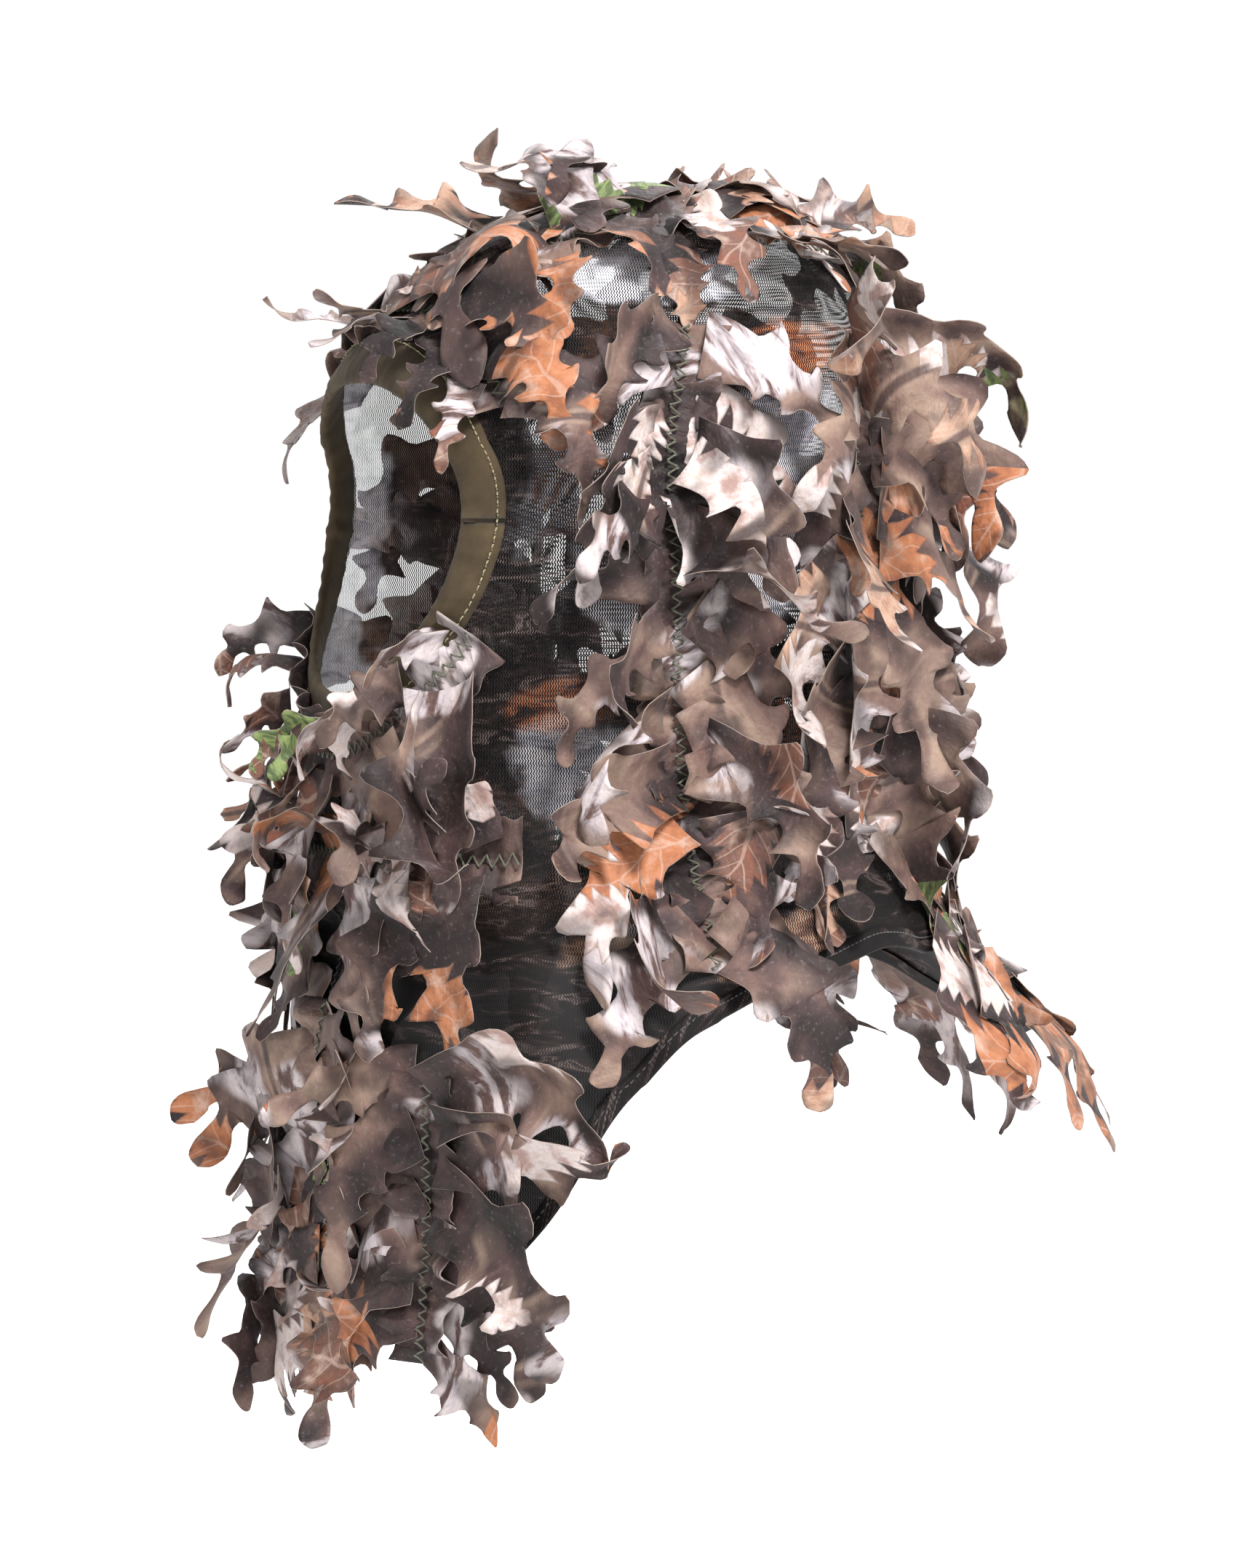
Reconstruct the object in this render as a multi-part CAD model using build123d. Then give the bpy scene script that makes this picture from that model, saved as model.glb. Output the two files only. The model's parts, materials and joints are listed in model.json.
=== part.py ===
from build123d import *
import math
import os

# Camouflage head net with leaf-cut tapes: a mesh hood with a bound face opening, a chest bib and a nape flap.
#
# Frame: millimetres, +Z up, face towards -Y, wearer's left towards +X. The origin is the inside of the crown,
# where the hood sits on the wearer's head.

# ---------------------------------------------------------------- driving dimensions
FABRIC = 1.6            # modelled thickness of the knitted mesh
HEAD_HALF_WIDTH = 88.0  # outside, at the widest ring of the dome
HEAD_FRONT = 104.0      # from the hood's axis to the brow
HEAD_BACK = 109.0       # from the hood's axis to the back of the head
DOME_DEPTH = 85.0       # from the crown down to the widest ring
CROWN_SHIFT = 24.0      # the crown lies this far behind the axis
FRONT_SQUARENESS = 2.4  # superellipse exponent of a ring's front half
BACK_SQUARENESS = 2.1

# (height, half width, front, back) of the rings below the dome, to the hem of the bib
SKIRT = [
    (-DOME_DEPTH, HEAD_HALF_WIDTH, HEAD_FRONT, HEAD_BACK),
    (-130, 90, 105, 111),
    (-175, 88, 104, 111),
    (-215, 88, 101, 112),
    (-245, 98, 101, 120),
    (-270, 112, 102, 136),
    (-292, 120, 104, 157),
    (-314, 124, 105, 181),
    (-350, 122, 105, 200),
    (-450, 114, 105, 206),
]
DOME_ANGLES = [8, 18, 29, 41, 53, 65, 77]
SKIRT_HEIGHTS = [-85, -130, -175, -215, -230, -245, -258, -270, -292, -314, -350, -415]
RING_POINTS = 24

# hem line of the hood, seen from the side, as (y, z)
HEM = [(-104, -402), (-95, -398), (-80, -386), (-60, -359), (-46, -328), (-18, -298), (14, -284), (69, -270),
       (113, -272), (147, -293), (180, -312)]
HEM_WIDTH = 7.0

# face opening, seen from the front
OPENING_HALF_WIDTH = 65.0
OPENING_CENTRE_Z = -113.0
OPENING_RISE = 49.0
OPENING_DROP = 65.0
OPENING_SQUARENESS_UP = 2.35
OPENING_SQUARENESS_DOWN = 2.0
BINDING_WIDTH = 16.5
SIDE_SLANT = 0.58       # the hood slants away at the opening's sides, where a width looks this much narrower
BINDING_PROUD = 0.9     # the binding wraps the mesh, so it stands proud on both faces

# the bib and the nape flap bend away from the hood along these slanted lines, which start on its surface
BIB_LINE = -373.0       # y + z on the bib's fold
NAPE_LINE = -358.0      # z - y on the nape's fold
FOLD_GAP = 2.0
SEW_GAP = 0.3           # between the modelled edges of two cloths that thread holds together

SEAM_HALF = 1.2
SEAM_PROUD = 1.4

TAPE_THICK = 1.0
TAPE_GAP = 2.4          # the tape's middle above the mesh
TAPE_STEP = 21.0        # distance between leaf tips along a tape, about
THREAD_WIDTH = 1.0
THREAD_THICK = 0.6
THREAD_GAP = 0.6
STITCH_CLEAR = 0.45     # the stitches lie on a curved band, so they are modelled just clear of it
FAR = 320.0             # longer than any dimension of the hood


# ---------------------------------------------------------------- the hood's surface
def between(low, high, share):
    return low + (high - low) * share


def skirt_ring(z):
    """Half width, front and back of the ring at height z below the dome, smoothed between the stations."""
    for upper, lower in zip(SKIRT, SKIRT[1:]):
        if z >= lower[0]:
            share = (upper[0] - z) / (upper[0] - lower[0])
            return [between(u, v, share) for u, v in zip(upper[1:], lower[1:])]
    return list(SKIRT[-1][1:])


def ring_sizes(z, inset):
    """Half width, front, back and centre y of the ring at height z, inset from the outside of the mesh."""
    top = FABRIC - inset
    if z > -DOME_DEPTH:
        level = min(1.0, (z + DOME_DEPTH) / (top + DOME_DEPTH))
        spread = math.sqrt(1 - level * level)
        sizes = [HEAD_HALF_WIDTH, HEAD_FRONT, HEAD_BACK]
        return [(size - inset) * spread for size in sizes] + [CROWN_SHIFT * level]
    return [size - inset for size in skirt_ring(z)] + [0.0]


def on_ring(theta, z, inset=0.0):
    """The point at angle theta, from the face towards the wearer's left, on the ring at height z."""
    half, front, back, centre = ring_sizes(z, inset)
    side, ahead = math.sin(math.radians(theta)), math.cos(math.radians(theta))
    depth, power = (front, FRONT_SQUARENESS) if ahead > 0 else (back, BACK_SQUARENESS)
    radius = ((abs(side) / half) ** power + (abs(ahead) / depth) ** power) ** (-1 / power)
    return Vector(radius * side, centre - radius * ahead, z)


def outward(theta, z):
    """Unit normal of the hood at an angle and a height."""
    around = on_ring(theta + 1, z) - on_ring(theta - 1, z)
    down = on_ring(theta, z - 1) - on_ring(theta, z + 1)
    return down.cross(around).normalized()


def on_face(x, z):
    """Point of the hood's front at a sideways place and a height."""
    half, front, _, centre = ring_sizes(z, 0)
    share = (1 - (abs(x) / half) ** FRONT_SQUARENESS) ** (1 / FRONT_SQUARENESS)
    return Vector(x, centre - front * share, z)


def hood_form(inset):
    """The solid inside the hood's surface, inset from the outside of the mesh."""
    top = FABRIC - inset
    heights = [-DOME_DEPTH + (top + DOME_DEPTH) * math.cos(math.radians(a)) for a in DOME_ANGLES] + SKIRT_HEIGHTS
    rings = []
    for z in heights:
        points = [on_ring(360 * i / RING_POINTS, z, inset) for i in range(RING_POINTS)]
        rings.append(Face(Wire([Spline(*points, periodic=True)])))
    return loft(rings, ruled=True)


# ---------------------------------------------------------------- cutting shapes
def side_prism(outline):
    """A prism through the hood from a closed (y, z) outline."""
    return extrude(Plane.YZ * make_face(outline), amount=FAR, both=True)


def below_hem(shift):
    """Everything below the hem line moved up by shift, measured square to the line."""
    points = []
    for i, (y, z) in enumerate(HEM):
        before, after = HEM[max(i - 1, 0)], HEM[min(i + 1, len(HEM) - 1)]
        run = math.hypot(after[0] - before[0], after[1] - before[1])
        points.append((y - shift * (after[1] - before[1]) / run, z + shift * (after[0] - before[0]) / run))
    first, last = (-FAR, points[0][1]), (FAR, points[-1][1])
    edge = Line(first, points[0]) + Spline(*points) + Line(points[-1], last)
    return side_prism(edge + Polyline(last, (FAR, -2 * FAR), (-FAR, -2 * FAR), first))


def opening_point(share, margin):
    """Point (x, z) of the opening's edge widened by margin, a share of the way round it."""
    angle = 2 * math.pi * share
    up = math.sin(angle) > 0
    power = 2 / (OPENING_SQUARENESS_UP if up else OPENING_SQUARENESS_DOWN)
    width = OPENING_HALF_WIDTH + SIDE_SLANT * margin
    height = (OPENING_RISE if up else OPENING_DROP) + margin
    across = math.copysign(abs(math.cos(angle)) ** power, math.cos(angle))
    above = math.copysign(abs(math.sin(angle)) ** power, math.sin(angle))
    return width * across, OPENING_CENTRE_Z + height * above


def opening_prism(margin):
    """The face opening widened by margin, cut from in front of the hood to its middle."""
    points = [opening_point(i / RING_POINTS, margin) for i in range(RING_POINTS)]
    return extrude(Plane.XZ * make_face(Spline(*points, periodic=True)), amount=FAR)


def bib_zone(gap):
    """Everything below the bib's slanted fold, which runs down and back from under the chin."""
    line = BIB_LINE - gap * math.sqrt(2)
    return side_prism(Polyline((-FAR, line + FAR), (40, line - 40), (40, -2 * FAR), (-FAR, -2 * FAR), close=True))


def nape_zone(gap):
    """Everything below the nape's slanted fold, which runs down and forward from the nape."""
    line = NAPE_LINE - gap * math.sqrt(2)
    return side_prism(Polyline((60, line + 60), (FAR, line + FAR), (FAR, -2 * FAR), (60, -2 * FAR), close=True))


def slab(low, high):
    """Everything between two sideways places."""
    return Pos((low + high) / 2, 0, -FAR / 2) * Box(high - low, 2 * FAR, 2 * FAR)


# ---------------------------------------------------------------- tapes and threads
def spot(theta, z):
    """Point and outward normal of the hood at an angle and a height."""
    return on_ring(theta, z), outward(theta, z)


def dome_height(x, y):
    """Height of the dome above a place on the floor plan."""
    low, high = -DOME_DEPTH, FABRIC
    for _ in range(40):
        z = (low + high) / 2
        half, front, back, centre = ring_sizes(z, 0)
        depth, power = (front, FRONT_SQUARENESS) if y < centre else (back, BACK_SQUARENESS)
        inside = (abs(x) / half) ** power + (abs(y - centre) / depth) ** power < 1
        low, high = (z, high) if inside else (low, z)
    return low


def dome_spot(x, y):
    """Point and outward normal of the dome above a place on the floor plan."""
    slope_x = dome_height(x + 0.5, y) - dome_height(x - 0.5, y)
    slope_y = dome_height(x, y + 0.5) - dome_height(x, y - 0.5)
    return Vector(x, y, dome_height(x, y)), Vector(-slope_x, -slope_y, 1).normalized()


def straight(start, end):
    """Spots from one (theta, z) to another, one or two to each leaf."""
    first, last = on_ring(*start), on_ring(*end)
    middle = on_ring(between(start[0], end[0], 0.5), between(start[1], end[1], 0.5))
    count = round(2 * ((middle - first).length + (last - middle).length) / TAPE_STEP)
    return [spot(between(start[0], end[0], i / count), between(start[1], end[1], i / count))
            for i in range(count + 1)]


def over_crown(x, front, back):
    """Spots from front to back over the dome at a sideways place."""
    count = round(2 * (back - front) / TAPE_STEP)
    return [dome_spot(x, between(front, back, i / count)) for i in range(count + 1)]


def round_opening(margin, start, end, count):
    """Spots along the opening's edge widened by margin, between two shares of the way round it."""
    spots = []
    for i in range(count + 1):
        x, z = opening_point(between(start, end, i / count), margin)
        spots.append(spot(math.degrees(math.atan2(x, ring_sizes(z, 0)[3] - on_face(x, z).Y)), z))
    return spots


def mirrored(spots):
    return [(Vector(-p.X, p.Y, p.Z), Vector(-n.X, n.Y, n.Z)) for p, n in spots]


def with_sides(spots):
    """Adds the sideways direction to each spot of a tape's route."""
    placed = []
    for i, (point, normal) in enumerate(spots):
        along = spots[min(i + 1, len(spots) - 1)][0] - spots[max(i - 1, 0)][0]
        placed.append((point, normal, normal.cross(along).normalized()))
    return placed


def leaf_tape(spots, half, lift):
    """A strip with leaf points along both edges, low along its sewn middle and lifting towards its edges."""
    sections = []
    for i, (point, normal, side) in enumerate(with_sides(spots)):
        reach = half if i % 2 == 0 else 0.45 * half
        rise = lift * reach / half
        middle = point + normal * TAPE_GAP
        low = [middle + side * reach + normal * rise, middle, middle - side * reach + normal * rise]
        high = [corner + normal * TAPE_THICK for corner in reversed(low)]
        sections.append(Wire.make_polygon(low + high, close=True))
    return Solid.make_loft(sections, ruled=True)


def tape_thread(spots):
    """The line of stitches along a tape's middle, as one flat cord."""
    sections = []
    for point, normal, side in with_sides(spots):
        low = point + normal * (TAPE_GAP + TAPE_THICK + THREAD_GAP)
        high = low + normal * THREAD_THICK
        reach = side * (THREAD_WIDTH / 2)
        sections.append(Wire.make_polygon([low + reach, low - reach, high - reach, high + reach], close=True))
    return Solid.make_loft(sections, ruled=True)


# ---------------------------------------------------------------- the sub-parts
nodes = {}


def halves(name, solid):
    """A mesh panel for each side of a shell, and the seam that joins them."""
    nodes[name + "_left"] = solid & slab(SEAM_HALF + SEW_GAP, FAR)
    nodes[name + "_right"] = solid & slab(-FAR, -SEAM_HALF - SEW_GAP)


def build_cloth():
    """Mesh panels, centre seams, hems and the binding of the face opening."""
    outside, inside = hood_form(0), hood_form(FABRIC)
    trim = below_hem(HEM_WIDTH + SEW_GAP) + opening_prism(BINDING_WIDTH + SEW_GAP)
    mesh = outside - inside - trim
    wrapped = hood_form(-BINDING_PROUD) - hood_form(FABRIC + BINDING_PROUD)
    seam = ((outside - hood_form(FABRIC + SEAM_PROUD)) & slab(-SEAM_HALF, SEAM_HALF)) - trim
    hem = (wrapped & below_hem(HEM_WIDTH)) - below_hem(0)
    not_hood = bib_zone(-FOLD_GAP) + nape_zone(-FOLD_GAP)

    halves("hood_mesh", mesh - not_hood)
    halves("bib_mesh", mesh & bib_zone(0))
    halves("nape_mesh", mesh & nape_zone(0))
    nodes["crown_seam"] = seam - not_hood
    nodes["bib_seam"] = seam & bib_zone(0)
    nodes["nape_seam"] = seam & nape_zone(0)
    arches = hem - not_hood
    nodes["shoulder_hem_left"] = arches & slab(SEW_GAP, FAR)
    nodes["shoulder_hem_right"] = arches & slab(-FAR, -SEW_GAP)
    nodes["bib_hem"] = hem & bib_zone(0)
    nodes["nape_hem"] = hem & nape_zone(0)
    nodes["face_binding"] = (wrapped & opening_prism(BINDING_WIDTH)) - opening_prism(0)


def build_binding_stitches():
    """Topstitching along the outer edge of the face binding."""
    count, inset, length, gauge = 96, 2.2, 3.0, 0.6
    stitches = []
    for i in range(count):
        share = i / count
        here, ahead = (on_face(*opening_point(s, BINDING_WIDTH - inset)) for s in (share, share + 0.002))
        along = (ahead - here).normalized()
        theta = math.degrees(math.atan2(here.X, ring_sizes(here.Z, 0)[3] - here.Y))
        normal = outward(theta, here.Z)
        centre = here + normal * (BINDING_PROUD + gauge / 2 + STITCH_CLEAR)
        stitches.append(Plane(origin=centre, x_dir=along, z_dir=normal) * Box(length, gauge, gauge))
    nodes["binding_stitching"] = Compound(children=stitches)


def build_tapes():
    """The leaf-cut tapes and the thread that sews each one to the mesh."""
    tapes = {
        "brow": (round_opening(BINDING_WIDTH + 9, 0.08, 0.42, 14), 14, 14),
        "chin": (round_opening(BINDING_WIDTH + 5, 0.58, 0.92, 14), 12, 9),
        "throat": (straight((-52, -236), (52, -236)), 13, 12),
        "crown_centre": (over_crown(0, -46, 100), 16, 12),
        "crown_left": (over_crown(38, -34, 74), 15, 9),
        "side_left": (straight((82, -44), (88, -276)), 30, 20),
        "rear_left": (straight((133, -46), (136, -236)), 30, 22),
        "back_centre": (straight((180, -78), (180, -222)), 30, 24),
        "bib_centre": (straight((0, -290), (0, -436)), 30, 24),
        "bib_left": (straight((38, -312), (36, -416)), 30, 20),
        "nape_left": (straight((150, -266), (172, -284)), 14, 16),
    }
    for name in ("crown_left", "side_left", "rear_left", "bib_left", "nape_left"):
        spots, half, lift = tapes[name]
        tapes[name.replace("left", "right")] = (mirrored(spots), half, lift)
    for name, (spots, half, lift) in tapes.items():
        nodes["leaf_tape_" + name] = leaf_tape(spots, half, lift)
        nodes["tape_thread_" + name] = tape_thread(spots)


build_cloth()
build_binding_stitches()
build_tapes()

os.makedirs("parts", exist_ok=True)
for name, shape in nodes.items():
    export_step(shape, os.path.join("parts", name + ".step"))
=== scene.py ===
"""Looks of the leafy camouflage hood: see-through mesh, olive binding, hems, and gathered leaf-cut tapes.

Lengths are millimetres in the row frame, +Z up, the face towards -Y, and become metres as each mesh is made.
"""
import itertools
import json
import math

import bpy
import numpy as np
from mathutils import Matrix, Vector

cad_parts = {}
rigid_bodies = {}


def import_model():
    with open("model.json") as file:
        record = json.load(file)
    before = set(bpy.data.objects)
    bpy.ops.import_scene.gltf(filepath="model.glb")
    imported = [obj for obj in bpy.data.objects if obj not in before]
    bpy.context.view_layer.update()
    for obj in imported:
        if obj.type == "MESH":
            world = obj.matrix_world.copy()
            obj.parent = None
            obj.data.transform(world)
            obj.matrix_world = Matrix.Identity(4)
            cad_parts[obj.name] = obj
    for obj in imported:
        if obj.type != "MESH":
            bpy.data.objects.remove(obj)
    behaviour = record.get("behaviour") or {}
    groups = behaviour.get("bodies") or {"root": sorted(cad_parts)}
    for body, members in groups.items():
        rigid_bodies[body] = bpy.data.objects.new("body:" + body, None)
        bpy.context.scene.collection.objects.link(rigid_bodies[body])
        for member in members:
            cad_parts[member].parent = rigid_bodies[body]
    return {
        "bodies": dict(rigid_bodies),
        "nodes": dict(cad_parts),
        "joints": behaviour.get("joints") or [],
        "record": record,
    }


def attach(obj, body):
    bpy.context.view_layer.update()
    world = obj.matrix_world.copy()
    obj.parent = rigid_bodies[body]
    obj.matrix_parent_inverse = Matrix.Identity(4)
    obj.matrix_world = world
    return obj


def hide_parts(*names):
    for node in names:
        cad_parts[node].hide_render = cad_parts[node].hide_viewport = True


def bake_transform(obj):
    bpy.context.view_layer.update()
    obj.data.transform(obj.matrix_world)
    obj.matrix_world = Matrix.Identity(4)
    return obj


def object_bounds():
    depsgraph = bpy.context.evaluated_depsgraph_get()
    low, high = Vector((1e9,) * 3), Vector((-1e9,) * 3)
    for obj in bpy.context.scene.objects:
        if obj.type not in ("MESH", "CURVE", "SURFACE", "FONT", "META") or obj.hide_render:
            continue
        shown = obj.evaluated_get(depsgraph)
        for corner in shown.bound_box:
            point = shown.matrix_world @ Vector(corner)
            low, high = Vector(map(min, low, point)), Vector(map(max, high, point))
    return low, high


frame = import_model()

CAD_BOX = [list(corner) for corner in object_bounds()]
MM = 0.001

# ---- driving dimensions, as in the CAD source
FABRIC = 1.6
DOME_DEPTH = 85.0
DOME_RUN = 148.0            # along the cloth from the crown to the widest ring
CROWN_SHIFT = 24.0
HEAD = (88.0, 104.0, 109.0)  # half width, front, back of the widest ring
FRONT_SQUARENESS = 2.4
BACK_SQUARENESS = 2.1
SKIRT = np.array([
    (-DOME_DEPTH, *HEAD), (-130, 90, 105, 111), (-175, 88, 104, 111), (-215, 88, 101, 112),
    (-245, 98, 101, 120), (-270, 112, 102, 136), (-292, 120, 104, 157), (-314, 124, 105, 181),
    (-350, 122, 105, 200), (-450, 114, 105, 206)])
HEM = np.array([(-104, -402), (-95, -398), (-80, -386), (-60, -359), (-46, -328), (-18, -298), (14, -284),
                (69, -270), (113, -272), (147, -293), (180, -312)], float)
OPENING_HALF_WIDTH = 65.0
OPENING_CENTRE_Z = -113.0
OPENING_RISE = 49.0
OPENING_DROP = 65.0
OPENING_SQUARENESS = (2.35, 2.0)    # of the opening's edge above and below its centre
BINDING_WIDTH = 16.5
SIDE_SLANT = 0.58
BIB_BLEND = (-340.0, -400.0)    # y + z where the cloth starts and stops bending with the bib
NAPE_BLEND = (-334.0, -384.0)   # z - y, for the nape flap

# ---- the cloth as drawn here
CLOTH_STEP = 2.0
HEM_FOLD = 7.0
SEAM_STEP = 1.5             # between the rows of the centre seam, and between its stitches
RUN = 545.0                 # longest way down the cloth
TAPE_STAND = 2.2            # a tape's sewn middle above the mesh
STITCH_SWAY = 2.3           # half width of a tape's zigzag
BAND_HALF = 15.0            # gathered band on each side of a tape's stitches
LEAF_THICK = 0.32
LEAF_PITCH = 18.0           # between leaves along one edge of a tape
GATHER = 1.45               # length of a tape's cloth for each length sewn
LEAF_ROOT = 7.0             # from a tape's stitches to the roots of its leaves
WORST_KEPT = 0.8            # the most faults a leaf may have and still be cut
CHIN_TUCK_Z, CHIN_HOLLOW_Z = -249, -265     # the cloth's fold under the chin, and the hollow below it
LEFT_PRINT = 400.0          # where the left side's flat places start; the right side's start at 0
PRINT_TINT, MESH_TINT = (0.60, 0.575, 0.58), (0.78, 0.76, 0.76)
SEED = 101


# ---- noise
def lattice(ix, iy, iz, seed):
    """A repeatable number from -1 to 1 for each corner of a unit lattice."""
    n = (ix * 374761393 + iy * 668265263 + iz * 1440662683 + seed * 97531) & 0xFFFFFFFF
    n = ((n ^ (n >> 13)) * 1274126177) & 0xFFFFFFFF
    return ((n ^ (n >> 16)) & 0xFFFF) / 32767.5 - 1


def noise(points, size, seed):
    """Smooth noise from -1 to 1 at points, with features about size across."""
    scaled = np.asarray(points, float) / size
    base = np.floor(scaled).astype(np.int64)
    part = scaled - base
    part = part * part * (3 - 2 * part)
    total = np.zeros(scaled.shape[:-1])
    for corner in itertools.product((0, 1), repeat=3):
        weight = np.prod(np.where(np.array(corner, bool), part, 1 - part), axis=-1)
        at = base + np.array(corner)
        total += weight * lattice(at[..., 0], at[..., 1], at[..., 2], seed)
    return total


# ---- the hood's surface
def skirt_sizes(z):
    """Half width, front and back of the rings from the widest one down."""
    down = np.minimum(z, -DOME_DEPTH)
    return [np.interp(down, SKIRT[::-1, 0], SKIRT[::-1, k]) for k in (1, 2, 3)]


def ring_sizes(z):
    """Half width, front, back and centre of the ring at each height."""
    z = np.asarray(z, float)
    level = dome_level(z)
    spread = np.sqrt(np.maximum(1 - level * level, 1e-6))
    return (*(size * spread for size in skirt_sizes(z)), CROWN_SHIFT * level)


def height_at(v):
    """Height of a place v along the cloth from the crown."""
    tilt = np.clip(v / DOME_RUN, 0, 1) * math.pi / 2
    return (FABRIC + DOME_DEPTH) * np.cos(tilt) - DOME_DEPTH - np.maximum(v - DOME_RUN, 0)


def dome_level(z):
    """0 at the widest ring and below it, and 1 at the crown."""
    return np.clip((z + DOME_DEPTH) / (FABRIC + DOME_DEPTH), 0, 1)


def way_down(z):
    """The place along the cloth at each height, which height_at turns back."""
    on_dome = np.arccos(dome_level(z)) / (math.pi / 2) * DOME_RUN
    return np.where(z > -DOME_DEPTH, on_dome, DOME_RUN - DOME_DEPTH - z)


def bare_point(theta, v):
    """The smooth hood at theta, in radians from the face towards the wearer's left, and v along the cloth."""
    theta, v = np.broadcast_arrays(np.asarray(theta, float), np.asarray(v, float))
    z = height_at(v)
    half, front, back, centre = ring_sizes(z)
    side, ahead = np.sin(theta), np.cos(theta)
    depth = np.where(ahead > 0, front, back)
    power = np.where(ahead > 0, FRONT_SQUARENESS, BACK_SQUARENESS)
    radius = ((np.abs(side) / half) ** power + (np.abs(ahead) / depth) ** power) ** (-1 / power)
    return np.stack([radius * side, centre - radius * ahead, z], axis=-1)


def unit(vectors):
    return vectors / np.maximum(np.linalg.norm(vectors, axis=-1, keepdims=True), 1e-9)


def travelled(points):
    """Distance from the first point to each, along them all."""
    return np.concatenate([[0], np.cumsum(np.linalg.norm(np.diff(points, axis=0), axis=1))])


def zigzag(count, half):
    """half and -half in turn, as a column."""
    return np.where(np.arange(count) % 2 == 0, half, -half)[:, None]


def pairs(a, b):
    """Places (a, b) over the grid the two make together."""
    return np.stack(np.broadcast_arrays(a, b), axis=-1)


def between(at, known, table):
    """Rows of a table of points, interpolated at places between the known ones."""
    return np.stack([np.interp(at, known, table[:, k]) for k in range(3)], axis=-1)


def unbroken(chosen):
    """The runs of neighbouring places where chosen holds."""
    picked = np.flatnonzero(chosen)
    return np.split(picked, np.flatnonzero(np.diff(picked) > 1) + 1)


def outside(points):
    """How many times further from the hood's middle each point is than the hood's surface is."""
    z = points[..., 2]
    rise = np.clip((z + DOME_DEPTH) / (FABRIC + DOME_DEPTH), 0, None)
    half, front, back = skirt_sizes(z)
    y = points[..., 1] - CROWN_SHIFT * np.minimum(rise, 1)
    depth = np.where(y < 0, front, back)
    power = np.where(y < 0, FRONT_SQUARENESS, BACK_SQUARENESS)
    flat = ((np.abs(points[..., 0]) / half) ** power + (np.abs(y) / depth) ** power) ** (1 / power)
    return np.sqrt(flat * flat + rise * rise)


def bare_normal(theta, v):
    """Outward direction of the smooth hood, from the slope of outside()."""
    points = bare_point(theta, v)
    steps = np.eye(3) * 0.5
    return unit(np.stack([outside(points + step) - outside(points - step) for step in steps], axis=-1))


def keep_off(points, clearance):
    """Moves points that are nearer the hood than clearance out to it."""
    z = points[..., 2]
    middle = np.stack([np.zeros_like(z), CROWN_SHIFT * dome_level(z), np.minimum(z, -DOME_DEPTH)], axis=-1)
    arm = points - middle
    far = np.maximum(np.linalg.norm(arm, axis=-1), 1e-6)
    share = np.maximum(outside(points), 1e-6)
    wanted = 1 + clearance / np.maximum(far / share, 1)
    grow = np.maximum(wanted / share, 1)
    return middle + arm * grow[..., None]


def opening_reach(points):
    """1 on the opening's edge as seen from the front, less inside it, and large behind the face."""
    x, z = points[..., 0], points[..., 2] - OPENING_CENTRE_Z
    height = np.where(z > 0, OPENING_RISE, OPENING_DROP)
    power = np.where(z > 0, *OPENING_SQUARENESS)
    reach = ((np.abs(x) / OPENING_HALF_WIDTH) ** power + (np.abs(z) / height) ** power) ** (1 / power)
    return np.where(points[..., 1] < -20, reach, 9.0)


def opening_point(share, margin):
    """(x, z) of the opening's edge widened by margin, a share of the way round it."""
    angle = math.tau * np.asarray(share, float)
    power = 2 / np.where(np.sin(angle) > 0, *OPENING_SQUARENESS)
    height = np.where(np.sin(angle) > 0, OPENING_RISE, OPENING_DROP) + margin
    across, above = (np.copysign(np.abs(part) ** power, part) for part in (np.cos(angle), np.sin(angle)))
    return (OPENING_HALF_WIDTH + SIDE_SLANT * margin) * across, OPENING_CENTRE_Z + height * above


def face_spot(x, z):
    """(angle, v) of the hood's front at a sideways place and a height."""
    half, front, _, _ = ring_sizes(z)
    ahead = front * np.maximum(1 - (np.abs(x) / half) ** FRONT_SQUARENESS, 0) ** (1 / FRONT_SQUARENESS)
    return np.arctan2(x, ahead), way_down(z)


def hem_height(y):
    """Height of the hem line, smoothed, at each y."""
    fine = np.linspace(HEM[0, 0] - 20, HEM[-1, 0] + 20, 200)
    straight = np.interp(fine, HEM[:, 0], HEM[:, 1])
    kernel = np.hanning(15) / np.hanning(15).sum()
    smooth = np.convolve(np.pad(straight, 7, mode="edge"), kernel, mode="valid")
    return np.interp(y, fine, smooth)


def ease(value, low, high):
    """0 below low, 1 above high, and smooth between."""
    t = np.clip((value - low) / (high - low), 0, 1)
    return t * t * (3 - 2 * t)


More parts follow.
